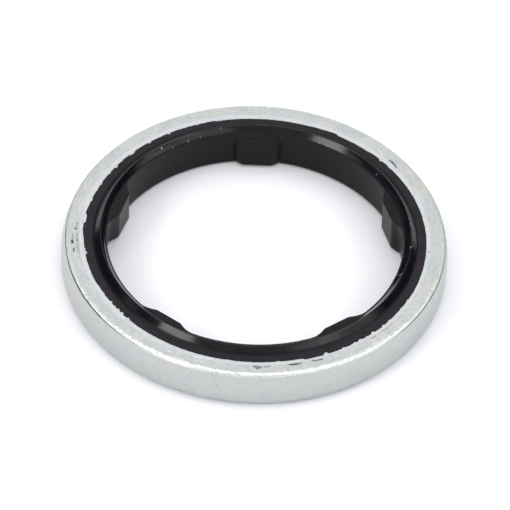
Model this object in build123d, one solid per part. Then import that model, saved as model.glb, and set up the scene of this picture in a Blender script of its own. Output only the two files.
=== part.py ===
from build123d import *
import math
import os

# Bonded sealing washer: a turned steel ring with a rubber seal moulded and bonded into its bore.
# Lengths are in millimetres and angles in degrees. The washer's axis is Z. It lies on z = 0 on the
# flat side of its seal, with the sealing bead up, and the origin is the middle of that side.

# ---- Rubber seal, across the bore ----
SEAL_BORE_DIAMETER = 27.66   # clear bore between the lugs
LAND_FLAT = 0.03             # flat left between the bore's top chamfer and the foot of the bead
BEAD_INNER_WIDTH = 0.40      # plan width of the bead's flank that faces the bore
BEAD_OUTER_WIDTH = 0.67      # plan width of the bead's flank that faces the steel
BAND_WIDTH = 0.82            # flat band between the bead and the steel
SEAT_CHAMFER = 0.5           # plan width of the slope from the seal's underside up to the steel's

# ---- Rubber seal, heights ----
BEAD_HEIGHT = 0.72           # crest above the steel's top face
LAND_RISE = 0.30             # land and lug tops above the steel's top face
SEAL_FOOT_DEPTH = 0.14       # how far the seal stands out below the steel
CREST_RADIUS = 0.1           # rounding along the bead's crest
BORE_TOP_CHAMFER = 0.1       # along the bore's and lugs' top edge
BORE_FOOT_CHAMFER = 0.25     # along the bore's and lugs' bottom edge

# ---- Lugs that centre the washer on its thread ----
LUG_COUNT = 5
FIRST_LUG_ANGLE = 19.0       # from +X, counter-clockwise seen from above
LUG_REACH = 0.83             # how far a lug's flat face stands in from the bore
LUG_FACE_WIDTH = 2.72
LUG_FLANK_WIDTH = 0.94       # width that each sloping flank adds at the bore
LUG_CORNER_RADIUS = 0.6      # between a lug's face and its flanks
LUG_ROOT_RADIUS = 0.6        # between a lug's flanks and the bore

# ---- Steel ring ----
STEEL_THICKNESS = 3.7
STEEL_WIDTH = 2.15           # from its bore to the widest part of the barrelled rim
RIM_BULGE = 0.41             # how far the rim swells past its two edges
ROLL_WIDTH = 0.67            # plan width of the rolled-over edge beside each flat face
ROLL_DEPTH = 0.16            # how far a rolled-over edge drops below its flat face

# ---- Radii, from the bore outwards ----
bore_radius = SEAL_BORE_DIAMETER / 2
bead_inner_foot = bore_radius + BORE_TOP_CHAMFER + LAND_FLAT
crest_radius = bead_inner_foot + BEAD_INNER_WIDTH
bead_outer_foot = crest_radius + BEAD_OUTER_WIDTH
bond_radius = bead_outer_foot + BAND_WIDTH
rim_radius = bond_radius + STEEL_WIDTH
edge_radius = rim_radius - RIM_BULGE
roll_start = edge_radius - ROLL_WIDTH

# ---- Levels, from the surface it lies on upwards ----
steel_bottom = SEAL_FOOT_DEPTH
steel_top = steel_bottom + STEEL_THICKNESS
land_level = steel_top + LAND_RISE
crest_level = steel_top + BEAD_HEIGHT

# ---- Lug outline, for a lug on the X axis ----
lug_face = bore_radius - LUG_REACH
lug_face_half = LUG_FACE_WIDTH / 2
lug_root_half = lug_face_half + LUG_FLANK_WIDTH
lug_root = math.sqrt(bore_radius ** 2 - lug_root_half ** 2)

NEAR = 0.001                 # how closely an edge or corner has to match to be picked


def distance_from_axis(point):
    return math.hypot(point.X, point.Y)


def make_steel_ring():
    """A turned ring: two flat faces with rolled-over edges, and a rim barrelled between them."""
    roll_top = steel_top - ROLL_DEPTH
    roll_bottom = steel_bottom + ROLL_DEPTH
    mid_level = (steel_top + steel_bottom) / 2
    outline = Curve() + [
        Polyline((roll_start, steel_bottom), (bond_radius, steel_bottom),
                 (bond_radius, steel_top), (roll_start, steel_top)),
        TangentArc((roll_start, steel_top), (edge_radius, roll_top), tangent=(1, 0)),
        ThreePointArc((edge_radius, roll_top), (rim_radius, mid_level), (edge_radius, roll_bottom)),
        TangentArc((roll_start, steel_bottom), (edge_radius, roll_bottom), tangent=(1, 0)),
    ]
    return revolve(Plane.XZ * make_face(outline), Axis.Z)


def make_seal_blank():
    """The seal turned as a solid disc: its underside, band, bead and land, with no bore yet."""
    outline = Polyline(
        (0, 0),
        (bond_radius - SEAT_CHAMFER, 0),
        (bond_radius, steel_bottom),
        (bond_radius, steel_top),
        (bead_outer_foot, steel_top),
        (crest_radius, crest_level),
        (bead_inner_foot, land_level),
        (0, land_level),
        close=True,
    )
    section = make_face(outline)
    crest = section.vertices().sort_by(Axis.Y)[-1]
    section = fillet(crest, radius=CREST_RADIUS)
    return revolve(Plane.XZ * section, Axis.Z)


def make_seal_plan():
    """The seal seen from above: a ring with the lugs standing into its bore, corners rounded."""
    inside_wall = (bore_radius + bond_radius) / 2
    lug = make_face(Polyline(
        (lug_face, lug_face_half),
        (lug_root, lug_root_half),
        (inside_wall, lug_root_half),
        (inside_wall, -lug_root_half),
        (lug_root, -lug_root_half),
        (lug_face, -lug_face_half),
        close=True,
    ))
    ring = Circle(bond_radius) - Circle(bore_radius)
    plan = ring + PolarLocations(0, LUG_COUNT, start_angle=FIRST_LUG_ANGLE) * lug
    face_corner_distance = math.hypot(lug_face, lug_face_half)
    face_corners = plan.vertices().filter_by(
        lambda corner: abs(distance_from_axis(corner) - face_corner_distance) < NEAR)
    plan = fillet(face_corners, radius=LUG_CORNER_RADIUS)
    return fillet(plan.vertices().filter_by(is_lug_root), radius=LUG_ROOT_RADIUS)


def is_lug_root(corner):
    """True where a lug's flank meets the bore, and not at the joint of two pieces of bore."""
    if abs(distance_from_axis(corner) - bore_radius) > NEAR:
        return False
    pitch = 360 / LUG_COUNT
    root_angle = math.degrees(math.asin(lug_root_half / bore_radius))
    from_lug = (math.degrees(math.atan2(corner.Y, corner.X)) - FIRST_LUG_ANGLE) % pitch
    return min(abs(from_lug - root_angle), abs(pitch - from_lug - root_angle)) < NEAR


def bore_edges(seal, level):
    """The closed run of edges round the bore and its lugs at one level."""
    def is_bore_edge(edge):
        middle = edge @ 0.5
        return abs(middle.Z - level) < NEAR and distance_from_axis(middle) < bore_radius + NEAR
    return seal.edges().filter_by(is_bore_edge)


def make_rubber_seal():
    """One moulding: the turned blank inside the plan outline, with its bore edges chamfered."""
    seal = make_seal_blank() & extrude(make_seal_plan(), amount=crest_level)
    seal = chamfer(bore_edges(seal, land_level), length=BORE_TOP_CHAMFER)
    return chamfer(bore_edges(seal, 0), length=BORE_FOOT_CHAMFER)


os.makedirs("parts", exist_ok=True)
export_step(make_steel_ring(), "parts/steel_ring.step")
export_step(make_rubber_seal(), "parts/rubber_seal.step")
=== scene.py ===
# %% [markdown]
# # A bonded sealing washer
#
# This washer goes under a bolt's head or a pipe fitting. A steel ring takes the load
# of the thread, and a black rubber ring, moulded and glued inside it, keeps the oil
# in. A raised bead on the rubber is squeezed flat when the joint is tightened, and
# five small lugs on its bore hold the washer in place on the thread.
#
# The lesson builds those two rings from their turned sections, wears them as handling
# does, and lights them in a small studio. The CAD frame comes first, because every
# piece has to sit exactly where the CAD has it.

# %% Open the frame
import math

import bmesh
import bpy
from mathutils import Matrix, Vector, noise


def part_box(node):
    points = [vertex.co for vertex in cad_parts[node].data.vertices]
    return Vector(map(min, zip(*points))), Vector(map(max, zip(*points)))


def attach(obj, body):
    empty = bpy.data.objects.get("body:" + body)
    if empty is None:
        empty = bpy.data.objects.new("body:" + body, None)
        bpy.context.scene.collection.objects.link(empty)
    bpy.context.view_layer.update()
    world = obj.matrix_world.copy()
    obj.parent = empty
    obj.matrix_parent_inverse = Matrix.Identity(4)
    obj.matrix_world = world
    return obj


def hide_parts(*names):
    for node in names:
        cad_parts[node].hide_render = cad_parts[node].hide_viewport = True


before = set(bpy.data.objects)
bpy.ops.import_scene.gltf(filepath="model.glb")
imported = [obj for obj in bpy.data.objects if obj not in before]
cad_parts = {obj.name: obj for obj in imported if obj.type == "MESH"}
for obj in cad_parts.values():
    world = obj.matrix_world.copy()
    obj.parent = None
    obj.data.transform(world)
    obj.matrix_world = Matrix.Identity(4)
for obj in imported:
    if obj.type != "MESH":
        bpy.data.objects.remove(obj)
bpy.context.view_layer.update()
MM = 0.001
print("CAD nodes:", sorted(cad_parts))

# %% [markdown]
# ## Taking sizes from the CAD
#
# The CAD boxes give the sizes that must not move: how wide the steel is, where its
# faces lie, and how high the bead stands. The rest of the section is set below, in
# millimetres, because a turner's drawing is in millimetres too.

# %% Sizes that the CAD fixes
steel_low, steel_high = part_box("steel_ring")
_, rubber_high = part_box("rubber_seal")
RIM = steel_high.x / MM
STEEL_TOP = steel_high.z / MM
STEEL_FOOT = steel_low.z / MM
CREST_HEIGHT = rubber_high.z / MM
BOND = rubber_high.x / MM
STEEL_MIDDLE = (STEEL_TOP + STEEL_FOOT) / 2
print(f"rim {RIM:.2f}, steel {STEEL_FOOT:.2f} to {STEEL_TOP:.2f}, crest {CREST_HEIGHT:.2f} mm")

# %% [markdown]
# ## The camera
#
# A washer this small is taken from more than half a metre away with a long lens, so
# its far side is hardly smaller than its near side. The camera looks down at 45
# degrees and is rolled a little, as a hand-set camera is. Two short turns, one about
# the camera's own x axis and one about its line of sight, say that more plainly than
# a set of Euler angles would.

# %% Set up the camera
CAMERA_HEIGHT_ANGLE = 0.79424
CAMERA_ROLL = 0.04598
CAMERA_DISTANCE = 572.1 * MM
CAMERA_AIM = Vector((0.0733, 1.5193, 0.0)) * MM
SENSOR_WIDTH = 36.0
LENS_LENGTH = 433.6
NEAREST_SEEN = 0.01
FARTHEST_SEEN = 50.0


def make_camera():
    camera_data = bpy.data.cameras.new("camera")
    camera_data.sensor_width = SENSOR_WIDTH
    camera_data.lens = LENS_LENGTH
    camera_data.clip_start = NEAREST_SEEN
    camera_data.clip_end = FARTHEST_SEEN
    camera = bpy.data.objects.new("camera", camera_data)
    bpy.context.scene.collection.objects.link(camera)
    tip_up = Matrix.Rotation(math.pi / 2 - CAMERA_HEIGHT_ANGLE, 4, "X")
    roll = Matrix.Rotation(CAMERA_ROLL, 4, "Z")
    back = Vector((0.0, -math.cos(CAMERA_HEIGHT_ANGLE), math.sin(CAMERA_HEIGHT_ANGLE)))
    place = Matrix.Translation(CAMERA_AIM + back * CAMERA_DISTANCE)
    camera.matrix_world = place @ tip_up @ roll
    bpy.context.scene.camera = camera
    return camera


camera = make_camera()
print("camera at", [round(v, 3) for v in camera.matrix_world.translation])

# %% [markdown]
# ## Writing a material as a sum
#
# Materials in Blender are nodes joined by links. Written out one by one they hide the
# idea, so a small class wraps a socket and lets Python's own signs make the Math
# nodes: `1 - mask * 0.5` adds two nodes and joins them. Every other node comes from
# one method, which sets the node's own settings before its sockets.


# %% Sockets that can be added up
class Wire:
    """One output of a node, which can be added, taken away, multiplied or divided."""

    def __init__(self, sheet, socket):
        self.sheet = sheet
        self.socket = socket

    def work(self, operation, *values):
        return self.sheet.node("ShaderNodeMath", {"operation": operation}, dict(enumerate(values)))

    def __add__(self, other):
        return self.work("ADD", self, other)

    def __sub__(self, other):
        return self.work("SUBTRACT", self, other)

    def __rsub__(self, other):
        return self.work("SUBTRACT", other, self)

    def __mul__(self, other):
        return self.work("MULTIPLY", self, other)

    def __truediv__(self, other):
        return self.work("DIVIDE", self, other)

    __radd__ = __add__
    __rmul__ = __mul__


class Sheet:
    """The node tree of one material, or of the world."""

    def __init__(self, tree):
        self.tree = tree
        tree.nodes.clear()

    def node(self, kind, settings=None, inputs=None, output=0):
        made = self.tree.nodes.new(kind)
        for name, value in (settings or {}).items():
            setattr(made, name, value)
        for name, value in (inputs or {}).items():
            if isinstance(value, Wire):
                self.tree.links.new(value.socket, made.inputs[name])
            else:
                made.inputs[name].default_value = value
        return Wire(self, made.outputs[output]) if made.outputs else made

    def fade(self, value, low, high):
        """A soft step: 0 up to low, 1 from high on, and the other way round if high is less."""
        inputs = {"Value": value, "From Min": low, "From Max": high}
        return self.node("ShaderNodeMapRange", {"interpolation_type": "SMOOTHSTEP"}, inputs)

    def fade_mm(self, value, low, high):
        """The same soft step between two lengths, given in mm."""
        return self.fade(value, low * MM, high * MM)

    def mix(self, amount, first, second):
        """Two colours mixed by an amount; the Mix node's colours are its sockets 6 and 7."""
        inputs = {0: amount, 6: first, 7: second}
        return self.node("ShaderNodeMix", {"data_type": "RGBA"}, inputs, output=2)

    def place(self):
        """Where a point of the piece lies, in metres."""
        return self.node("ShaderNodeTexCoord", output="Object")

    def painted(self, name):
        """A value that was painted on the points of the mesh."""
        return self.node("ShaderNodeAttribute", {"attribute_name": name}, output="Fac")

    def parts(self, vector):
        """The x, y and z of a vector."""
        split = self.tree.nodes.new("ShaderNodeSeparateXYZ")
        self.tree.links.new(vector.socket, split.inputs[0])
        return [Wire(self, socket) for socket in split.outputs]

    def join(self, x, y, z):
        """A vector made of three values."""
        return self.node("ShaderNodeCombineXYZ", None, {0: x, 1: y, 2: z})

    def from_axis(self, place):
        """How far a place lies from the z axis."""
        x, y, _ = self.parts(place)
        return self.node("ShaderNodeMath", {"operation": "SQRT"}, {0: x * x + y * y})

    def stretch(self, place, turn, scale):
        """The same place, turned about z and then drawn out."""
        inputs = {"Vector": place, "Rotation": (0.0, 0.0, turn), "Scale": scale}
        return self.node("ShaderNodeMapping", {"vector_type": "TEXTURE"}, inputs)

    def cloud(self, place, size, detail=2.0, roughness=0.5):
        """Smooth noise from 0 to 1, with lumps about as wide as size, in metres."""
        inputs = {"Vector": place, "Scale": 1.0 / size, "Detail": detail, "Roughness": roughness}
        return self.node("ShaderNodeTexNoise", None, inputs)

    def hoops(self, place, breaks, width):
        """Noise drawn out round the z axis into hoops about as wide as width, in metres."""
        x, y, _ = self.parts(place)
        radius = self.from_axis(place)
        drawn_out = self.join(x / radius * breaks, y / radius * breaks, radius / width)
        return self.cloud(drawn_out, 1.0, detail=3.0)


def new_material(name):
    material = bpy.data.materials.new(name)
    material.use_nodes = True
    return material, Sheet(material.node_tree)


print("shader helpers ready")

# %% [markdown]
# ## The studio's light
#
# Polished zinc and black rubber show the room more than they show themselves, so the
# room is what makes them look real. A white sweep hangs behind the object and over
# it. Both sides are lit high up, the front glows weakly with a brighter band above,
# and a low skirt of light in front reaches the rim. The rest of the room is dark, and
# that darkness draws the black bands on the rubber. Three panels are added: a small
# bright softbox in front on the left, a wide weak one in front on the right, and a
# weak one overhead.
#
# The room's general light is the world's shader, worked out from the direction
# looked in. Each pair of numbers says where a part of the room begins and where it
# is fully lit, along one axis of that direction: OUT is level, UP is upwards. The
# sides' first pair is for x squared, which is alike on the left and on the right. The
# panels are area lights, because their crisp edges show in the rubber.

# %% Light the room
PAPER_WHITE = (0.93, 0.93, 0.94, 1.0)
ROOM_DARK = 0.04
SWEEP_LIGHT = 1.16
SIDE_LIGHT = 2.0
FRONT_LIGHT = 0.60
HIGH_LIGHT = 0.9
SKIRT_LIGHT = 1.9
OVERHANG_LEAN = 0.5
OVERHANG = (0.45, 0.75)
BACKDROP = (0.88, 0.97)
SIDES_OUT, SIDES_UP = (0.20, 0.45), (0.55, 0.65)
FRONT_OUT, FRONT_UP = (-0.3, -0.6), (0.3, 0.5)
HIGH_OUT, HIGH_UP = (-0.05, -0.3), (0.68, 0.80)
SKIRT_OUT, SKIRT_UP, SKIRT_TOP = (0.10, -0.15), (0.03, 0.08), (0.50, 0.40)
# Name, azimuth and elevation in degrees, distance, width and height in metres, radiance, colour.
PANELS = (
    ("key_softbox", 217.5, 37.0, 1.2, 0.38, 0.38, 5.3, (1.0, 0.96, 0.93)),
    ("overhead_panel", 83.0, 81.0, 1.0, 0.70, 0.49, 1.1, (1.0, 1.0, 1.0)),
    ("fill_panel", 324.0, 36.0, 1.2, 1.27, 0.42, 1.00, (0.98, 0.98, 1.0)),
)


def light_room():
    world = bpy.data.worlds.new("studio")
    world.use_nodes = True
    bpy.context.scene.world = world
    sheet = Sheet(world.node_tree)
    looking = sheet.node("ShaderNodeTexCoord", output="Generated")
    x, y, z = sheet.parts(looking)
    overhang = sheet.fade(y * OVERHANG_LEAN + z, *OVERHANG)
    backdrop = sheet.fade(y, *BACKDROP)
    sweep = (overhang + backdrop * (1.0 - overhang)) * SWEEP_LIGHT
    sides = sheet.fade(x * x, *SIDES_OUT) * sheet.fade(z, *SIDES_UP) * SIDE_LIGHT
    front = sheet.fade(y, *FRONT_OUT) * sheet.fade(z, *FRONT_UP) * FRONT_LIGHT
    high = sheet.fade(y, *HIGH_OUT) * sheet.fade(z, *HIGH_UP) * (1.0 - overhang) * HIGH_LIGHT
    skirt = sheet.fade(y, *SKIRT_OUT) * sheet.fade(z, *SKIRT_UP) * sheet.fade(z, *SKIRT_TOP) * SKIRT_LIGHT
    light = sweep + sides + front + high + skirt + ROOM_DARK
    room = sheet.node("ShaderNodeBackground", None, {"Strength": light})
    paper = sheet.node("ShaderNodeBackground", None, {"Color": PAPER_WHITE})
    seen = sheet.node("ShaderNodeLightPath", output="Is Camera Ray")
    both = sheet.node("ShaderNodeMixShader", None, {0: seen, 1: room, 2: paper})
    sheet.node("ShaderNodeOutputWorld", None, {"Surface": both})


def hang_softbox(name, azimuth, elevation, distance, width, height, radiance, colour):
    """A lit panel that faces the washer."""
    panel = bpy.data.lights.new(name, "AREA")
    panel.shape = "RECTANGLE"
    panel.size = width
    panel.size_y = height
    panel.energy = radiance * math.pi * width * height
    panel.color = colour
    lamp = bpy.data.objects.new(name, panel)
    bpy.context.scene.collection.objects.link(lamp)
    turn, rise = math.radians(azimuth), math.radians(elevation)
    aim = Vector((math.cos(turn) * math.cos(rise), math.sin(turn) * math.cos(rise), math.sin(rise)))
    lamp.location = aim * distance
    lamp.rotation_mode = "QUATERNION"
    lamp.rotation_quaternion = aim.to_track_quat("Z", "Y")


light_room()
for panel in PANELS:
    hang_softbox(*panel)
bpy.context.scene.view_settings.view_transform = "Standard"

# %% [markdown]
# ## The floor
#
# The washer lies on white card. Card isn't one flat tone: its fibres make it a little
# rough and a little uneven, and that keeps the soft shadow alive. It isn't part of
# the washer.

# %% Lay the card
FLOOR_WIDTH = 1.0
FIBRE_WIDTH = 0.4
FIBRE_HEIGHT = 0.02
CARD_HOLLOW = (0.905, 0.910, 0.950, 1.0)
CARD_FIBRE = (0.935, 0.940, 0.975, 1.0)


def make_card_finish():
    material, sheet = new_material("white card")
    fibre = sheet.cloud(sheet.place(), FIBRE_WIDTH * MM, detail=4.0)
    shade = sheet.mix(fibre, CARD_HOLLOW, CARD_FIBRE)
    relief = {"Strength": 0.05, "Distance": FIBRE_HEIGHT * MM, "Height": fibre}
    bumps = sheet.node("ShaderNodeBump", None, relief)
    inputs = {"Base Color": shade, "Roughness": fibre * 0.1 + 0.8, "Normal": bumps}
    surface = sheet.node("ShaderNodeBsdfPrincipled", None, inputs | {"Specular IOR Level": 0.2})
    sheet.node("ShaderNodeOutputMaterial", None, {"Surface": surface})
    return material


def lay_floor():
    mesh = bmesh.new()
    bmesh.ops.create_grid(mesh, x_segments=4, y_segments=4, size=FLOOR_WIDTH / 2)
    data = bpy.data.meshes.new("floor")
    mesh.to_mesh(data)
    mesh.free()
    floor = bpy.data.objects.new("floor", data)
    bpy.context.scene.collection.objects.link(floor)
    data.materials.append(make_card_finish())


lay_floor()
print("floor", FLOOR_WIDTH, "m wide")

# %% [markdown]
# ## Turning a ring from its section
#
# Both rings are round, so each is drawn as a section, half of what a saw cut through
# the ring would show, and spun about the axis as a lathe would. The corners are typed
# in, a vertex bevel rounds those that a tool or a mould rounds, and the lines are
# divided so that there are enough points to wear down afterwards. Spinning one slice
# and then repeating the slice round the axis gives the same ring as one long spin, in
# a fraction of the time; the slices' shared edges are merged, so there is no seam.

# %% Draw, round, divide and spin
STEPS_ROUND = 1080
SLICES = 12
# Points of two slices that lie closer than this, in mm, become one.
SEAM = 0.0005


def draw_section(mesh, corners):
    """Join corners, given as radius and height in mm, into one closed line."""
    dots = [mesh.verts.new((radius * MM, 0.0, height * MM)) for radius, height in corners]
    for first, second in zip(dots, dots[1:] + dots[:1]):
        mesh.edges.new((first, second))


def round_corner(mesh, radius, height, reach, steps):
    """Round the corner of the section that lies nearest a place, over a reach in mm."""
    place = Vector((radius, 0.0, height)) * MM
    corner = min(mesh.verts, key=lambda dot: (dot.co - place).length)
    bmesh.ops.bevel(
        mesh,
        geom=[corner],
        offset=reach * MM,
        offset_type="OFFSET",
        affect="VERTICES",
        segments=steps,
        profile=0.5,
        material=-1,
    )


def divide_lines(mesh, spacing, shown):
    """Divide each shown line of the section so that its points are about spacing mm apart."""
    for line in list(mesh.edges):
        middle = (line.verts[0].co + line.verts[1].co) / 2 / MM
        cuts = int(line.calc_length() / MM / spacing) if shown(middle.x, middle.z) else 0
        if cuts:
            bmesh.ops.subdivide_edges(mesh, edges=[line], cuts=cuts)


def spin_ring(mesh):
    """Spin the section all the way round and point its faces outwards."""
    slice_angle = 2 * math.pi / SLICES
    turning = {"cent": (0.0, 0.0, 0.0), "axis": (0.0, 0.0, 1.0), "dvec": (0.0, 0.0, 0.0)}
    section = mesh.verts[:] + mesh.edges[:]
    steps = STEPS_ROUND // SLICES
    bmesh.ops.spin(mesh, geom=section, angle=slice_angle, steps=steps, **turning)
    first_slice = mesh.verts[:] + mesh.edges[:] + mesh.faces[:]
    rest = slice_angle * (SLICES - 1)
    bmesh.ops.spin(mesh, geom=first_slice, angle=rest, steps=SLICES - 1, use_duplicate=True, **turning)
    bmesh.ops.remove_doubles(mesh, verts=mesh.verts[:], dist=SEAM * MM)
    bmesh.ops.recalc_face_normals(mesh, faces=mesh.faces[:])


def place_piece(mesh, name, node, material, sharp_angle):
    """Make the mesh a finished piece that stands for a CAD node, crisp at edges past an angle."""
    data = bpy.data.meshes.new(name)
    mesh.to_mesh(data)
    mesh.free()
    data.shade_smooth()
    data.set_sharp_from_angle(angle=math.radians(sharp_angle))
    data.materials.append(material)
    piece = bpy.data.objects.new(name, data)
    bpy.context.scene.collection.objects.link(piece)
    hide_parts(node)
    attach(piece, "root")
    print(f"{name}: {len(data.vertices)} points, {len(data.polygons)} faces")


print("a step round the rim is", round(2 * math.pi * RIM / STEPS_ROUND, 3), "mm")

# %% [markdown]
# ## Marks of handling
#
# Washers are tumbled, plated in a barrel and packed loose, so their faces are knocked
# and scraped. A stroke runs from one place to another on the top face, each place
# given by its angle in degrees and its radius in mm, and has half a width in mm and a
# strength. A stroke of grime presses the metal down and is painted on the points in
# one go, so shape and colour agree. A bright scuff is only painted.


# %% Strokes on a ring
def clamp(value):
    """The value kept between 0 and 1."""
    return max(0.0, min(1.0, value))


def around(degrees, radius):
    """A point in the plane, in mm, from its angle and its radius."""
    turn = math.radians(degrees)
    return Vector((math.cos(turn), math.sin(turn))) * radius


def lay_strokes(strokes):
    """Strokes ready to use: where each starts, how it runs, its half width and its strength."""
    laid = []
    for start, end, width, strength in strokes:
        foot = around(*start)
        laid.append((foot, around(*end) - foot, width, strength))
    return laid


def stroke_strength(point, strokes):
    """How strongly the strokes mark a point of the plane: full on a line and 0 off its width."""
    strongest = 0.0
    for start, run, width, strength in strokes:
        offset = point - start
        if offset.length_squared < (run.length + width) ** 2:
            along = clamp(offset.dot(run) / run.length_squared)
            away = (offset - run * along).length / width
            strongest = max(strongest, strength * (1.0 - away * away))
    return strongest


def rough(x, y, z, size, seed):
    """Noise from -1 to 1 at a point in mm, with lumps about as wide as size."""
    return noise.noise(Vector((x / size + seed, y / size, z / size)))


def unevenness(x, y, z, lumps):
    """Lumps of several kinds added up, each with a height and a width in mm and a seed."""
    total = 0.0
    for height, width, seed in lumps:
        total += height * rough(x, y, z, width, seed)
    return total


GRIME_STROKES = lay_strokes((
    ((266.5, 16.36), (270.6, 16.36), 0.07, 0.35),
    ((271.5, 16.38), (272.6, 16.70), 0.10, 0.95),
    ((272.6, 16.70), (273.8, 16.44), 0.10, 0.85),
    ((271.7, 16.40), (274.4, 16.44), 0.10, 0.85),
    ((274.4, 16.44), (276.8, 16.38), 0.08, 0.8),
    ((282.3, 16.36), (287.0, 16.38), 0.09, 0.75),
    ((283.2, 16.44), (286.0, 16.46), 0.11, 0.95),
    ((290.5, 16.34), (291.6, 16.44), 0.10, 1.1),
    ((291.6, 16.44), (293.7, 16.47), 0.10, 1.2),
    ((311.6, 16.42), (314.0, 16.44), 0.09, 0.5),
    ((317.0, 16.46), (321.6, 16.44), 0.09, 0.55),
    ((341.8, 16.20), (342.4, 16.30), 0.07, 0.4),
    ((347.6, 16.60), (349.2, 16.82), 0.06, 0.25),
    ((349.2, 16.82), (351.8, 16.96), 0.06, 0.25),
    ((257.9, 16.92), (259.6, 16.40), 0.07, 0.25),
    ((38.0, 16.42), (39.6, 16.50), 0.10, 1.1),
    ((39.6, 16.50), (41.8, 16.50), 0.10, 1.2),
    ((46.6, 16.42), (48.6, 16.46), 0.08, 0.45),
    ((29.5, 16.36), (29.8, 16.52), 0.07, 0.4),
    ((18.4, 16.52), (18.7, 16.68), 0.06, 0.25),
    ((19.4, 16.88), (20.2, 17.00), 0.06, 0.25),
    ((176.8, 16.58), (179.0, 16.56), 0.07, 0.8),
    ((179.4, 16.72), (179.8, 16.60), 0.11, 1.2),
    ((181.6, 16.82), (184.4, 16.90), 0.07, 0.7),
    ((184.9, 16.95), (185.9, 16.88), 0.14, 1.7),
    ((188.3, 16.84), (189.7, 16.88), 0.10, 1.2),
    ((181.4, 16.46), (185.6, 16.44), 0.07, 0.5),
    ((182.0, 16.52), (193.5, 16.46), 0.17, 0.36),
    ((186.0, 16.58), (191.0, 16.48), 0.06, 0.4),
    ((193.5, 16.32), (195.8, 16.28), 0.07, 0.3),
    ((172.4, 16.04), (176.4, 16.04), 0.06, 0.5),
))
SCUFF_STROKES = lay_strokes((
    ((242.0, 16.80), (245.0, 16.66), 0.10, 0.7),
    ((246.0, 16.56), (249.5, 16.30), 0.10, 0.4),
    ((252.1, 16.30), (255.0, 16.10), 0.12, 0.7),
    ((256.2, 16.24), (256.6, 16.02), 0.10, 0.8),
    ((173.0, 15.90), (176.0, 15.90), 0.10, 0.7),
    ((191.0, 16.36), (193.6, 16.52), 0.08, 0.5),
    ((193.4, 16.50), (197.4, 16.80), 0.08, 0.3),
    ((169.0, 16.70), (174.0, 16.40), 0.12, 0.3),
    ((180.4, 16.60), (182.6, 16.70), 0.09, 0.4),
    ((46.4, 16.62), (47.8, 16.66), 0.10, 0.6),
    ((297.4, 16.50), (298.6, 16.62), 0.09, 0.5),
))
print(len(GRIME_STROKES), "grimy strokes and", len(SCUFF_STROKES), "scuffs")

# %% [markdown]
# ## The steel ring's shape
#
# The ring is stamped from strip and its edge is rolled over, so the top face bends
# down into the edge, the edge ends in a small crease, and the rim below the crease
# swells like a barrel. The bend and the swelling are curves too gentle for a bevel,
# so their lines are divided first and each point is then eased along a power of its
# distance. The power sets how the curve bulges: the rim is drawn in softly above, and
# stays full until just above its foot.

# %% Turn the steel ring
STEEL_BORE = 15.3
ROLL_START = 17.07
CREASE = 17.59
ROLL_DEPTH = 0.16
FOOT_DEPTH = 0.11
EDGE_BEND = 2.4
TOP_FULLNESS = 2
FOOT_FULLNESS = 8
SWELL_SPARE = 0.09
RIM_SWELL = RIM - CREASE - SWELL_SPARE
CREASE_ROUND = 0.09
FOOT_EDGE_ROUND = 0.07
EDGE_SPACING = 0.055
TOP_SPACING = 0.11
RIM_SPACING = 0.14
# Lines of the section above this height are seen most, so they are divided finely.
UPPER_LINES = 3.5
# A point counts as on a face within NEAR of it, and as on a corner within TOUCH.
NEAR = 0.01
TOUCH = 0.001


def ease_edge(mesh):
    """Bend the rolled edges in and swell the rim, which is fuller towards its foot."""
    upper = (STEEL_TOP, -ROLL_DEPTH, TOP_FULLNESS)
    lower = (STEEL_FOOT, FOOT_DEPTH, FOOT_FULLNESS)
    for dot in mesh.verts:
        radius, height = dot.co.x / MM, dot.co.z / MM
        face, depth, fullness = upper if height > STEEL_MIDDLE else lower
        if ROLL_START < radius < CREASE - TOUCH:
            bend = ((radius - ROLL_START) / (CREASE - ROLL_START)) ** EDGE_BEND
            dot.co.z = (face + depth * bend) * MM
        elif radius > CREASE - TOUCH:
            reach = face + depth - STEEL_MIDDLE
            dot.co.x += RIM_SWELL * (1.0 - ((height - STEEL_MIDDLE) / reach) ** fullness) * MM


def turn_steel():
    """The steel ring, spun from its section."""
    mesh = bmesh.new()
    corners = (
        (STEEL_BORE, STEEL_TOP),
        (ROLL_START, STEEL_TOP),
        (CREASE, STEEL_TOP - ROLL_DEPTH),
        (CREASE, STEEL_FOOT + FOOT_DEPTH),
        (ROLL_START, STEEL_FOOT),
        (STEEL_BORE, STEEL_FOOT),
    )
    draw_section(mesh, corners)
    divide_lines(mesh, EDGE_SPACING, lambda radius, height: radius > ROLL_START and height > UPPER_LINES)
    divide_lines(mesh, TOP_SPACING, lambda radius, height: height > UPPER_LINES)
    divide_lines(mesh, RIM_SPACING, lambda radius, height: radius > ROLL_START)
    ease_edge(mesh)
    round_corner(mesh, CREASE, STEEL_TOP - ROLL_DEPTH, CREASE_ROUND, 6)
    round_corner(mesh, CREASE, STEEL_FOOT + FOOT_DEPTH, FOOT_EDGE_ROUND, 3)
    spin_ring(mesh)
    return mesh


steel_mesh = turn_steel()
print("steel ring:", len(steel_mesh.verts), "points, swollen by", round(RIM_SWELL, 2), "mm")
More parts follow.
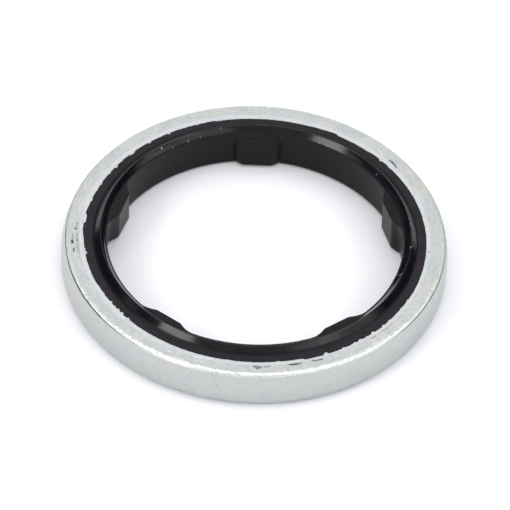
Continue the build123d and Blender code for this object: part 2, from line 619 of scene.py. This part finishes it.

# %% [markdown]
# ## Wear on the steel ring
#
# The spun ring is too perfect. Rolling leaves the edge uneven, the crease is deeper on
# one side than on the other, and the rim's width drifts a little, because a stamped
# ring is never quite round. The crease is also painted dark, a painted shade that grows
# with its depth. The rolled edge gets bright flecks, partly burnishing from handling and
# partly a painted highlight, strongest at the front, with a few painted glints near the
# crease; they break its highlight into bright pieces. The drift, the crease's depth and
# the flecks' strength are each a line drawn through a few heights: degrees first, and
# then mm or, for the flecks, a strength.
#
# All of it could be painted as a picture, but then it would sit on a smooth shape.
# Here each point is moved, and what the finish has to know is painted on the same
# point as a mark: 0 where it is scuffed bright and where the highlight is painted, 0.5
# where it is clean, 1 in grime and in the crease's painted shade.

# %% Wear the steel ring
EDGE_MIDDLE = 17.34
EDGE_HALF = 0.28
EDGE_LOWEST = 3.0
# Lumps are given by height and width, both in mm, and a seed.
EDGE_LUMPS = ((0.020, 1.1, 0.0), (0.026, 0.42, 7.0), (0.018, 0.2, 9.0))
RIM_LUMPS = ((0.010, 3.5, 3.0),)
TOP_LUMPS = ((0.003, 1.6, 5.0),)
DRIFT_START = 16.6
DRIFT_RAMP = 0.6
CREASE_REACH = 0.07
# How strongly the crease's depth paints it dark: painted shade in the crease.
CREASE_PAINTED_SHADE = 20.0
FLECK_WIDTH = 0.18
FLECK_CONTRAST = 2.6
FLECK_SHARE = 0.1
STROKE_BREAKS = 0.16
STROKE_FILL = 0.95
MARK_DEPTH = 0.018
# A mark's values: 0 for scuffs and painted highlight, 0.5 clean, 1 for grime and the crease's painted
# shade.
SCUFFED_AND_HIGHLIT, CLEAN, GRIMY_AND_SHADED = 0.0, 0.5, 1.0
RIM_DRIFT = (
    (0, 0.11), (10, 0.07), (30, 0.03), (45, 0.04), (70, 0.09), (85, 0.085), (110, 0.02), (130, -0.05),
    (145, -0.086), (160, -0.06), (184, -0.01), (230, 0.0), (280, 0.01), (300, 0.05), (322, 0.04),
    (330, 0.08), (346, 0.13), (360, 0.11),
)
CREASE_DEPTH = (
    (0, 0.05), (12, 0.04), (20, 0.0), (160, 0.0), (170, 0.06), (215, 0.07), (228, 0.045),
    (245, 0.03), (252, 0.02), (275, 0.0), (285, 0.02), (318, 0.03), (326, 0.05), (360, 0.05),
)
# Strength of the rolled edge's bright flecks by angle: partly burnishing, partly a painted highlight
# strongest at the front, with painted glints at 318 and 324 degrees.
EDGE_WEAR_AND_HIGHLIGHT = (
    (0, 0.2), (205, 0.2), (222, 0.5), (232, 1.4), (290, 1.4), (300, 1.0), (316, 0.7),
    (317.5, 1.6), (319.5, 1.6), (320.5, 0.2), (323, 0.2), (324, 1.8), (325.2, 0.2), (360, 0.2),
)


def read_curve(curve, place):
    """The height of a line drawn through a few points, at a place along it."""
    for (start, low), (end, high) in zip(curve, curve[1:]):
        if start <= place <= end:
            return low + (high - low) * (place - start) / (end - start)
    return curve[-1][1]


def edge_at(radius, height):
    """How fully a point lies on the upper rolled edge: 1 in its middle and 0 off it."""
    return max(0.0, 1.0 - abs(radius - EDGE_MIDDLE) / EDGE_HALF) if height > EDGE_LOWEST else 0.0


def drift_at(radius, height, turn):
    """How far the rim is wider or narrower here than it was turned, most of all at its top."""
    outer = clamp((radius - DRIFT_START) / DRIFT_RAMP)
    upper = max(0.0, (height - STEEL_MIDDLE) / (STEEL_TOP - STEEL_MIDDLE))
    return outer * upper * read_curve(RIM_DRIFT, turn)


def wear_steel(mesh):
    """Roughen the edge, dent the top, and paint marks, painted shade and highlight on points."""
    mark = mesh.verts.layers.float.new("mark")
    for dot in mesh.verts:
        x, y, z = dot.co / MM
        radius = math.hypot(x, y)
        turn = math.degrees(math.atan2(y, x)) % 360
        edge = edge_at(radius, z)
        lift = edge * unevenness(x, y, z, EDGE_LUMPS)
        swell = drift_at(radius, z, turn)
        if radius > CREASE:
            swell += unevenness(x, y, z, RIM_LUMPS)
        # Bright flecks on the rolled edge: partly burnishing, partly a painted highlight.
        burnish_and_highlight = edge * read_curve(EDGE_WEAR_AND_HIGHLIGHT, turn)
        bright = clamp(burnish_and_highlight * (FLECK_CONTRAST * rough(x, y, z, FLECK_WIDTH, 31.0) + FLECK_SHARE))
        dark = 0.0
        if z > STEEL_TOP - NEAR and radius < ROLL_START:
            point = Vector((x, y))
            lift += unevenness(x, y, z, TOP_LUMPS)
            broken = STROKE_FILL + rough(x, y, z, STROKE_BREAKS, 23.0)
            dark = clamp(stroke_strength(point, GRIME_STROKES) * broken)
            bright = clamp(stroke_strength(point, SCUFF_STROKES) * broken)
        crease = max(0.0, 1.0 - math.hypot(radius - CREASE, z - STEEL_TOP + ROLL_DEPTH) / CREASE_REACH)
        pinch = crease * read_curve(CREASE_DEPTH, turn)
        # Painted shade: the crease is painted dark, as dark as grime, the deeper it is.
        dark = max(dark, CREASE_PAINTED_SHADE * pinch * crease)
        lift -= pinch
        swell -= pinch
        dot[mark] = CLEAN + (GRIMY_AND_SHADED - CLEAN) * min(1.0, dark) - (CLEAN - SCUFFED_AND_HIGHLIT) * bright
        dot.co.z += (lift - MARK_DEPTH * dark) * MM
        dot.co.x += swell * x / radius * MM
        dot.co.y += swell * y / radius * MM


wear_steel(steel_mesh)
worn_height = max(dot.co.z for dot in steel_mesh.verts) / MM
print("the worn ring reaches", round(worn_height, 3), "mm up")

# %% [markdown]
# ## Zinc that has been passivated
#
# Bright zinc plate is dipped in a chromate bath that leaves a skin thinner than a
# wavelength of light. It greys the shine and gives it faint pools of green, blue and
# straw. So the metal's colour is a few pale tints melted into each other by slow
# noise, its roughness wanders, and a fine grain bends the light as plating crystals
# do.
#
# Some of it depends on the place. The rim is tinted darker. The top face is paler in a
# belt beside the rubber, where the mould pressed on it, and there blue and lilac
# streaks run round the ring. A few brown freckles are the first rust. Those are laid
# over the tints one after another, and the painted marks come last, with the crease's
# painted shade and the rolled edge's painted highlight.

# %% Mix the zinc finish
ZINC_GREY = (0.590, 0.630, 0.620, 1.0)
ZINC_STRAW = (0.635, 0.635, 0.585, 1.0)
ZINC_BLUE = (0.575, 0.610, 0.625, 1.0)
ZINC_ROSE = (0.630, 0.620, 0.640, 1.0)
ZINC_PALE = (0.82, 0.84, 0.84, 1.0)
ZINC_DULL = (0.40, 0.43, 0.42, 1.0)
ZINC_SCUFF_AND_HIGHLIGHT = (0.915, 0.91, 0.895, 1.0)
ZINC_RIM = (0.40, 0.42, 0.40, 1.0)
ZINC_BROWN = (0.42, 0.36, 0.27, 1.0)
ZINC_STREAK = (0.54, 0.64, 0.71, 1.0)
ZINC_LILAC = (0.72, 0.70, 0.75, 1.0)
ZINC_PRESSED = (0.86, 0.86, 0.93, 1.0)
GRIME_AND_CREASE_SHADE = (0.04, 0.04, 0.04, 1.0)
POOL_WIDTH = 2.2
STAIN_WIDTH = 1.1
PATCH_WIDTH = 0.40
GRAIN_WIDTH = 0.13
FRECKLE_WIDTH = 1.2
ZINC_RELIEF = 0.015
# Each pair of radii, in mm, is where a soft step starts and where it is full.
RIM_STEP = (CREASE - 0.02, CREASE + 0.06)
PRESSED_INSIDE, PRESSED_OUTSIDE = (15.80, 15.90), (16.33, 16.20)
STREAKS_INSIDE, STREAKS_OUTSIDE = (15.7, 15.95), (16.9, 16.5)
STREAK_WIDTH = 0.20
STREAK_BREAKS = 9.0


def melt_tints(sheet, clouds, scratches):
    """The plating's pale tints, each laid where its cloud steps up from low to high."""
    pools, stains, patches, grain = clouds
    layers = (
        (pools, 0.50, 0.62, 1.00, ZINC_STRAW),
        (pools, 0.47, 0.36, 1.00, ZINC_BLUE),
        (stains, 0.55, 0.75, 0.60, ZINC_ROSE),
        (patches, 0.52, 0.75, 0.50, ZINC_PALE),
        (patches, 0.48, 0.25, 0.50, ZINC_DULL),
        (grain, 0.50, 0.72, 0.35, ZINC_PALE),
        (grain, 0.50, 0.28, 0.35, ZINC_DULL),
    )
    tint = ZINC_GREY
    for cloud, low, high, strength, colour in layers:
        tint = sheet.mix(sheet.fade(cloud, low, high) * strength, tint, colour)
    return sheet.mix(scratches * 0.35, tint, ZINC_PALE)


def scratch_lines(sheet, place, turn, length, width):
    """Fine scratches that run one way, given in radians, so many times as long as wide, in mm."""
    drawn_out = sheet.stretch(place, turn, (length, 1.0, 1.0))
    return sheet.fade(sheet.cloud(drawn_out, width * MM, detail=1.0), 0.60, 0.70)


def tint_places(sheet, place, tint):
    """The darker rim, the pale belt with its streaks, the freckles, and the marks, with painted shade and
    highlight.
    """
    radius = sheet.from_axis(place)
    rim = sheet.fade_mm(radius, *RIM_STEP)
    tint = sheet.mix(rim * 0.52, tint, ZINC_RIM)
    pressed = sheet.fade_mm(radius, *PRESSED_INSIDE) * sheet.fade_mm(radius, *PRESSED_OUTSIDE)
    tint = sheet.mix(pressed * 0.40, tint, ZINC_PRESSED)
    streaks = sheet.hoops(place, STREAK_BREAKS, STREAK_WIDTH * MM)
    beside = sheet.fade_mm(radius, *STREAKS_INSIDE) * sheet.fade_mm(radius, *STREAKS_OUTSIDE)
    tint = sheet.mix(sheet.fade(streaks, 0.54, 0.64) * beside * 0.70, tint, ZINC_STREAK)
    tint = sheet.mix(sheet.fade(streaks, 0.46, 0.36) * beside * 0.60, tint, ZINC_LILAC)
    freckles = sheet.cloud(place, FRECKLE_WIDTH * MM, detail=2.0, roughness=0.8)
    tint = sheet.mix(sheet.fade(freckles, 0.68, 0.75) * 0.5, tint, ZINC_BROWN)
    mark = sheet.painted("mark")
    # Scuffs and the edge's painted highlight turn pale; grime and the crease's painted shade turn black.
    tint = sheet.mix(sheet.fade(mark, CLEAN, SCUFFED_AND_HIGHLIT), tint, ZINC_SCUFF_AND_HIGHLIGHT)
    return sheet.mix(sheet.fade(mark, CLEAN, GRIMY_AND_SHADED), tint, GRIME_AND_CREASE_SHADE)


def make_zinc():
    """Passivated zinc: its clouds and scratches colour it, blur it and lift it."""
    material, sheet = new_material("clear passivated zinc")
    place = sheet.place()
    pools = sheet.cloud(place, POOL_WIDTH * MM, detail=4.0, roughness=0.6)
    stains = sheet.cloud(place, STAIN_WIDTH * MM, detail=4.0, roughness=0.6)
    patches = sheet.cloud(place, PATCH_WIDTH * MM, detail=3.0, roughness=0.7)
    grain = sheet.cloud(place, GRAIN_WIDTH * MM, detail=2.0, roughness=0.7)
    one_way = scratch_lines(sheet, place, 0.6, 14.0, 0.09)
    other_way = scratch_lines(sheet, place, -1.1, 11.0, 0.08)
    scratches = (one_way + other_way) * sheet.fade(stains, 0.42, 0.62)
    tint = melt_tints(sheet, (pools, stains, patches, grain), scratches)
    tint = tint_places(sheet, place, tint)
    height = grain + patches * 1.5 - scratches * 0.5
    relief = {"Strength": 0.6, "Distance": ZINC_RELIEF * MM, "Height": height}
    bumps = sheet.node("ShaderNodeBump", None, relief)
    inputs = {"Base Color": tint, "Roughness": stains * 0.16 + 0.24, "Normal": bumps, "Metallic": 1.0}
    surface = sheet.node("ShaderNodeBsdfPrincipled", None, inputs)
    sheet.node("ShaderNodeOutputMaterial", None, {"Surface": surface})
    return material


ZINC_SHARP = 50.0
zinc = make_zinc()
place_piece(steel_mesh, "turned_steel_ring", "steel_ring", zinc, ZINC_SHARP)

# %% [markdown]
# ## The rubber's section
#
# The rubber wraps the steel's bore and laps a hair's breadth over its top face, where
# it leaked out of the mould as a thin film. Inside that flat band the bead rises to a
# narrow crest, falls to a small land, and the bore drops straight down to the floor.
# The mould leaves the crest and the bore's edges slightly rounded. The crest is drawn
# a little high, because its rounding takes that off again, and the faces that meet
# the steel keep a hair away from it.

# %% Draw the rubber seal
BORE = 13.74
LAND = 4.00
BEAD_INSIDE = 13.86
CREST = 14.36
BEAD_OUTSIDE = 15.04
FILM = 0.015
FILM_TOP = STEEL_TOP + FILM
CORNER = 0.035
FOOT_ROUND = 0.50
CREST_ROUND = 0.05
CREST_SPARE = 0.008
FOOT_LEAN = 0.02
FILM_LEAN = 0.04
HAIR = 0.005
BEAD_SPACING = 0.12
BORE_SPACING = 0.30
BEAD_LINES = 3.85


def draw_rubber():
    """The rubber's section, rounded and divided but not yet spun."""
    mesh = bmesh.new()
    corners = (
        (BEAD_OUTSIDE, FILM_TOP),
        (CREST, CREST_HEIGHT + CREST_SPARE),
        (BEAD_INSIDE, LAND),
        (BORE, LAND),
        (BORE, 0.0),
        (BOND, 0.0),
        (BOND + FOOT_LEAN, STEEL_FOOT + HAIR),
        (STEEL_BORE, STEEL_FOOT + HAIR),
        (STEEL_BORE, STEEL_TOP - HAIR),
        (BOND - FILM_LEAN, STEEL_TOP - HAIR),
        (BOND, FILM_TOP),
    )
    draw_section(mesh, corners)
    round_corner(mesh, CREST, CREST_HEIGHT, CREST_ROUND, 4)
    round_corner(mesh, BORE, LAND, CORNER, 4)
    round_corner(mesh, BORE, 0.0, FOOT_ROUND, 5)
    divide_lines(mesh, BEAD_SPACING, lambda radius, height: height > BEAD_LINES and radius > BORE + NEAR)
    divide_lines(mesh, BORE_SPACING, lambda radius, height: radius < BORE + NEAR)
    return mesh


rubber_mesh = draw_rubber()
print("rubber section:", len(rubber_mesh.verts), "points")

# %% [markdown]
# ## Five lugs pushed out of the bore
#
# Each lug is a low block with a flat face and two sloping sides, and it melts into
# the bore in a hollow that is wider at the top than at the bottom. All of that can be
# said as one radius for each angle: the bore's radius, unless the lug's face or side
# lies nearer the axis. A soft maximum rounds the lug's corners, a soft minimum
# hollows its root, and the spun bore is simply pressed in to that radius. No two lugs
# are quite alike: some lean, some have a rubbed top edge, and one has a groove along
# its root instead of a wide hollow. The groove fades out near the top.

# %% The radius of the bore at any angle
# Half the face's width, and how the sides run, outwards and sideways, at the foot and on top.
FACE_HALF = 1.40
FLANK_FOOT = Vector((0.64, 0.80))
FLANK_TOP = Vector((0.64, 1.05))
# A side's line never slants less than this, or its radius would run off to infinity.
FLANK_LEAST = 0.2
LUG_CORNER = 0.12
LUG_REACH = 0.35
ROOT_FOOT = 0.15
GROOVE_START = 0.02
GROOVE_HALF = 0.14
GROOVE_FADE = 4.0
WHOLE_LUG = 0.5
# Angle at the foot and at the top, distance of the face at both, how round its top is,
# how widely it melts into the bore, and the depth of the groove along its root.
LUGS = (
    (19.3, 19.3, 12.93, 12.88, 0.08, 0.55, 0.0),
    (90.7, 90.8, 13.08, 13.10, 0.12, 0.22, 0.11),
    (161.6, 164.2, 12.92, 12.74, 0.08, 0.55, 0.0),
    (234.7, 234.7, 13.00, 13.00, 0.20, 0.55, 0.0),
    (306.7, 306.7, 13.00, 13.00, 0.20, 0.55, 0.0),
)


def soft_max(first, second, reach):
    """The greater of two values, rounded where they are closer than reach."""
    near = max(reach - abs(first - second), 0.0) / reach
    return max(first, second) + near * near * reach / 4


def soft_min(first, second, reach):
    """The lesser of two values, rounded where they are closer than reach."""
    return -soft_max(-first, -second, reach)


def lug_radius(away, face, rise):
    """A lug's own radius at an angle away from its middle, before it meets the bore."""
    run = FLANK_FOOT.lerp(FLANK_TOP, rise).normalized()
    square = Vector((run.y, -run.x))
    corner = Vector((face, FACE_HALF))
    slant = square.dot(Vector((math.cos(away), math.sin(away))))
    flank = square.dot(corner) / max(slant, FLANK_LEAST)
    return soft_max(face / math.cos(away), flank, LUG_CORNER)


def groove_at(groove, lug, rise):
    """How deep the groove is where the lug's side has this radius; it fades out near the top."""
    off_middle = (lug - BORE - GROOVE_START) / GROOVE_HALF
    return groove * max(0.0, 1.0 - off_middle**2) * min(1.0, GROOVE_FADE * (1.0 - rise))


def bore_at(turn, rise):
    """The bore's radius at an angle, and how round its top edge is; rise is 0 at the foot, 1 on top."""
    radius, rounding = BORE, CORNER
    for foot_turn, top_turn, foot_face, top_face, edge, melt, groove in LUGS:
        middle = math.radians(foot_turn + (top_turn - foot_turn) * rise)
        away = abs((turn - middle + math.pi) % (2 * math.pi) - math.pi)
        if away < LUG_REACH:
            lug = lug_radius(away, foot_face + (top_face - foot_face) * rise, rise)
            radius = soft_min(radius, lug, ROOT_FOOT + melt * rise * rise)
            radius += groove_at(groove, lug, rise)
            rounding = CORNER + (edge - CORNER) * clamp((BORE - radius) / WHOLE_LUG)
    return radius, rounding


print("bore at a lug's middle:", round(bore_at(math.radians(19.0), 0.5)[0], 2), "mm")

# %% [markdown]
# ## Where the film tore
#
# When the washer is pulled from the mould, the film of rubber on the steel tears. Its
# edge wanders, steps, and has small bites where bright steel shows. The wander is a
# line through a few heights, with some noise on it. Each bite is an angle, half its
# width in degrees, its depth in millimetres and a power, which makes its floor round
# (2) or flat (6).

# %% The torn edge of the film
FILM_LUMPS = ((0.02, 1.3, 11.0), (0.035, 0.34, 13.0))
FILM_EDGE = (
    (0, 15.85), (38, 15.86), (41, 15.89), (48, 15.88), (51, 15.81), (62.5, 15.81), (63.2, 15.95),
    (68, 15.90), (76, 15.81), (105, 15.81), (106, 15.90), (110, 15.85), (160, 15.86),
    (168, 15.93), (170.5, 15.99), (180, 15.98), (184, 15.89), (205, 15.87), (208, 15.80),
    (287.5, 15.80), (288.2, 15.97), (300, 15.97), (306, 15.93), (318, 15.97), (326, 15.90),
    (340, 15.89), (347, 15.85), (360, 15.85),
)
BITES = (
    (39.5, 0.6, 0.10, 2), (44.0, 0.9, 0.16, 2), (104.5, 1.4, 0.04, 4), (112.0, 0.5, 0.06, 2),
    (116.5, 0.5, 0.07, 2), (122.7, 0.6, 0.16, 2), (126.0, 0.5, 0.04, 2), (130.8, 0.6, 0.16, 2),
    (138.8, 1.4, 0.16, 3), (144.0, 0.5, 0.10, 2), (147.3, 0.8, 0.16, 2), (151.2, 0.7, 0.12, 2),
    (157.0, 0.5, 0.08, 2), (160.2, 0.5, 0.06, 2), (165.5, 0.9, 0.10, 2), (174.3, 2.3, 0.16, 6),
    (188.6, 0.6, 0.10, 2), (190.4, 0.9, 0.18, 3), (210.0, 0.6, 0.08, 2), (215.0, 0.7, 0.14, 2),
    (217.3, 0.5, 0.08, 2), (219.2, 0.6, 0.18, 2), (221.3, 0.7, 0.18, 2), (224.5, 0.6, 0.14, 2),
    (263.0, 0.8, 0.06, 2), (279.5, 0.7, 0.08, 2), (295.7, 1.0, 0.26, 2), (302.2, 0.6, 0.12, 2),
    (306.5, 0.5, 0.10, 2), (308.8, 0.7, 0.12, 2), (311.5, 0.5, 0.08, 2), (314.2, 0.8, 0.18, 2),
    (319.0, 0.5, 0.12, 2), (322.0, 0.5, 0.10, 2), (329.0, 0.5, 0.08, 2), (333.5, 0.5, 0.10, 2),
)


def film_edge_at(turn):
    """The radius where the film ends, in mm."""
    degrees = math.degrees(turn) % 360
    radius = read_curve(FILM_EDGE, degrees)
    x, y = around(degrees, radius)
    radius += unevenness(x, y, 0.0, FILM_LUMPS)
    for middle, half, depth, power in BITES:
        radius -= depth * max(0.0, 1.0 - (abs(degrees - middle) / half) ** power)
    return radius


print("film edge at 123 degrees:", round(film_edge_at(math.radians(123.0)), 2), "mm")

# %% [markdown]
# ## Shaping the spun rubber
#
# The spin leaves every point on a plain round ring. This step reads where each point
# lies on the section, then moves it: points of the bore go to the bore's new radius,
# points of its top edge go round the wanted rounding, the land stretches to follow,
# and the outer part of the film slides to the torn edge. The bead stays where it is.
#
# The mould's parts don't sit quite on one centre, so the bore, the bead and the film
# each get a small shift, and one melts into the next. Specks of dust are painted on
# the points like the strokes on the steel.

# %% Press the lugs in and tear the film
FILM_HOLD = 0.2
FOOT_HOLD = 0.3
ABOVE_FOOT = 1.0
BORE_SHIFT = Vector((0.005, -0.05))
BEAD_SHIFT = Vector((0.075, -0.05))
FILM_SHIFT = Vector((0.040, -0.08))
BORE_TO_BEAD = 0.4
BEAD_TO_FILM = 0.5
BEAD_LUMPS = ((0.012, 2.5, 17.0),)
CREST_LUMPS = ((0.008, 1.8, 19.0),)
LUMPS_END = BOND - 0.5
DUST_LOWEST = LAND - 0.1
DUST = lay_strokes((
    ((11.8, 14.40), (11.5, 14.40), 0.05, 0.35),
    ((8.6, 14.40), (8.3, 14.38), 0.05, 0.35),
    ((356.6, 14.36), (355.9, 14.30), 0.05, 0.5),
    ((357.6, 14.52), (357.3, 14.50), 0.05, 0.3),
    ((347.2, 14.30), (346.9, 14.30), 0.05, 0.4),
    ((342.3, 14.30), (342.3, 13.90), 0.04, 0.35),
    ((349.3, 14.96), (349.0, 15.04), 0.05, 0.25),
    ((38.3, 14.00), (38.3, 14.08), 0.04, 0.18),
    ((130.6, 14.17), (130.4, 14.18), 0.06, 0.8),
    ((105.4, 14.20), (105.2, 14.28), 0.05, 0.25),
    ((104.0, 14.40), (103.8, 14.44), 0.05, 0.35),
    ((108.8, 14.38), (108.6, 14.40), 0.05, 0.25),
    ((118.2, 14.40), (117.9, 14.42), 0.05, 0.35),
    ((113.8, 13.86), (113.8, 13.98), 0.05, 0.25),
    ((119.0, 13.86), (118.8, 13.94), 0.05, 0.4),
    ((126.0, 13.84), (125.8, 13.88), 0.05, 0.35),
    ((63.0, 13.84), (62.8, 13.92), 0.05, 0.4),
    ((66.4, 13.86), (66.2, 13.92), 0.05, 0.3),
))


def shape_point(radius, height, turn):
    """Where a point of the plain ring goes, as a radius and a height in mm."""
    wall, rounding = bore_at(turn, height / LAND)
    if height > STEEL_TOP - NEAR and radius > BEAD_OUTSIDE + FILM_HOLD:
        stretch = (radius - BEAD_OUTSIDE - FILM_HOLD) / (BOND - BEAD_OUTSIDE - FILM_HOLD)
        return radius + (film_edge_at(turn) - BOND) * stretch, height
    if radius > BEAD_INSIDE + NEAR and height > ABOVE_FOOT:
        return radius, height
    if radius < BORE + CORNER - TOUCH and height > LAND - CORNER + TOUCH:
        across = (BORE + CORNER - radius) / CORNER
        down = (height - LAND + CORNER) / CORNER
        return wall + rounding - across * rounding, LAND - rounding + down * rounding
    if height > LAND - CORNER / 2:
        stretch = (radius - BORE - CORNER) / (BEAD_INSIDE - BORE - CORNER)
        start = wall + rounding
        return start + (BEAD_INSIDE - start) * stretch, height
    share = max(0.0, 1.0 - (radius - BORE) / (FOOT_ROUND + FOOT_HOLD))
    climb = height * (LAND - rounding) / (LAND - CORNER) if height > FOOT_ROUND else height
    return radius + (wall - BORE) * share, climb


def shift_at(radius):
    """How far the mould's parts sat off the centre, which differs from the bore to the film."""
    if radius < BEAD_OUTSIDE:
        return BORE_SHIFT.lerp(BEAD_SHIFT, clamp((radius - BORE) / BORE_TO_BEAD))
    return BEAD_SHIFT.lerp(FILM_SHIFT, clamp((radius - BEAD_OUTSIDE) / BEAD_TO_FILM))


def shape_rubber(mesh):
    """Move every point of the spun ring, and paint the specks of dust."""
    dust = mesh.verts.layers.float.new("dust")
    for dot in mesh.verts:
        x, y, z = dot.co / MM
        turn = math.atan2(y, x)
        radius, height = shape_point(math.hypot(x, y), z, turn)
        x, y = math.cos(turn) * radius, math.sin(turn) * radius
        if height > ABOVE_FOOT and radius < LUMPS_END:
            radius += unevenness(x, y, height, BEAD_LUMPS)
            height += unevenness(x, y, height, CREST_LUMPS)
        if height > DUST_LOWEST:
            dot[dust] = stroke_strength(Vector((x, y)), DUST)
        place = Vector((math.cos(turn), math.sin(turn))) * radius + shift_at(radius)
        dot.co = Vector((place.x, place.y, height)) * MM


spin_ring(rubber_mesh)
shape_rubber(rubber_mesh)
print("rubber seal:", len(rubber_mesh.verts), "points")

# %% [markdown]
# ## Moulded rubber
#
# Nitrile rubber is nearly black and takes its look from a weak, slightly blurred
# reflection, so the base is very dark and the roughness is where the work goes: it
# wanders slowly, the flat band is duller and faintly brown, and a fine bump stands
# for the mould's own surface. Fine flow lines cross the ring and run down its bore.
# The dust is a paler, rougher spot where it was painted.
#
# A shiny and a dull rubber are mixed, because they differ in how strongly they
# reflect, which no roughness can say. The bore's wall is all dull. Elsewhere thin
# hoops of the dull one run round the ring, as the turned mould leaves them.

# %% Mix the rubber finish
RUBBER_BLACK = (0.0038, 0.0036, 0.0060, 1.0)
RUBBER_BAND = (0.0150, 0.0135, 0.0175, 1.0)
RUBBER_BROWN = (0.0110, 0.0085, 0.0080, 1.0)
RUBBER_SPECK = (0.020, 0.017, 0.022, 1.0)
DUST_GREY = (0.55, 0.55, 0.53, 1.0)
BAND_STEP = (15.02, 15.14)
WALL_STEP = (LAND + 0.04, LAND - 0.03)
BLOOM_WIDTH = 1.4
MOULD_GRAIN = 0.14
FLOW_WIDTH = 0.012
FLOW_STRETCH = 6.0
HOOP_WIDTH = 0.10
HOOP_BREAKS = 7.0
RUBBER_RELIEF = 0.012
DULL_SHINE = 0.18


def make_rubber():
    """Moulded rubber: mostly shiny on the bead, duller on the band and dull in the bore."""
    material, sheet = new_material("black moulded rubber")
    place = sheet.place()
    x, y, z = sheet.parts(place)
    radius = sheet.from_axis(place)
    band = sheet.fade_mm(radius, *BAND_STEP)
    wall = sheet.fade_mm(z, *WALL_STEP)
    bloom = sheet.cloud(place, BLOOM_WIDTH * MM, detail=4.0, roughness=0.6)
    grain = sheet.cloud(place, MOULD_GRAIN * MM, detail=2.0)
    across = sheet.join(x / radius, y / radius, radius * FLOW_STRETCH)
    flow = sheet.cloud(across, FLOW_WIDTH, detail=3.0, roughness=0.6)
    hoops = sheet.fade(sheet.hoops(place, HOOP_BREAKS, HOOP_WIDTH * MM), 0.48, 0.62)
    matt = wall + band * 0.1 + hoops * 0.3 + 0.2
    dust = sheet.painted("dust")
    colour = sheet.mix(band, RUBBER_BLACK, RUBBER_BAND)
    colour = sheet.mix(sheet.fade(bloom, 0.45, 0.7) * (band * 0.6 + 0.2), colour, RUBBER_BROWN)
    colour = sheet.mix(sheet.fade(grain, 0.5, 0.8) * band * 0.5, colour, RUBBER_SPECK)
    colour = sheet.mix(dust, colour, DUST_GREY)
    height = grain + bloom * 0.6 + flow * 0.8
    relief = {"Strength": 0.15, "Distance": RUBBER_RELIEF * MM, "Height": height}
    bumps = sheet.node("ShaderNodeBump", None, relief)
    roughness = bloom * 0.08 + flow * 0.10 + band * 0.12 + dust * 0.4 + wall * 0.25 + 0.03
    inputs = {"Base Color": colour, "Roughness": roughness, "IOR": 1.45, "Normal": bumps}
    shiny = sheet.node("ShaderNodeBsdfPrincipled", None, inputs)
    dull = sheet.node("ShaderNodeBsdfPrincipled", None, inputs | {"Specular IOR Level": DULL_SHINE})
    surface = sheet.node("ShaderNodeMixShader", None, {0: matt, 1: shiny, 2: dull})
    sheet.node("ShaderNodeOutputMaterial", None, {"Surface": surface})
    return material


RUBBER_SHARP = 25.0
rubber = make_rubber()
place_piece(rubber_mesh, "moulded_rubber_seal", "rubber_seal", rubber, RUBBER_SHARP)
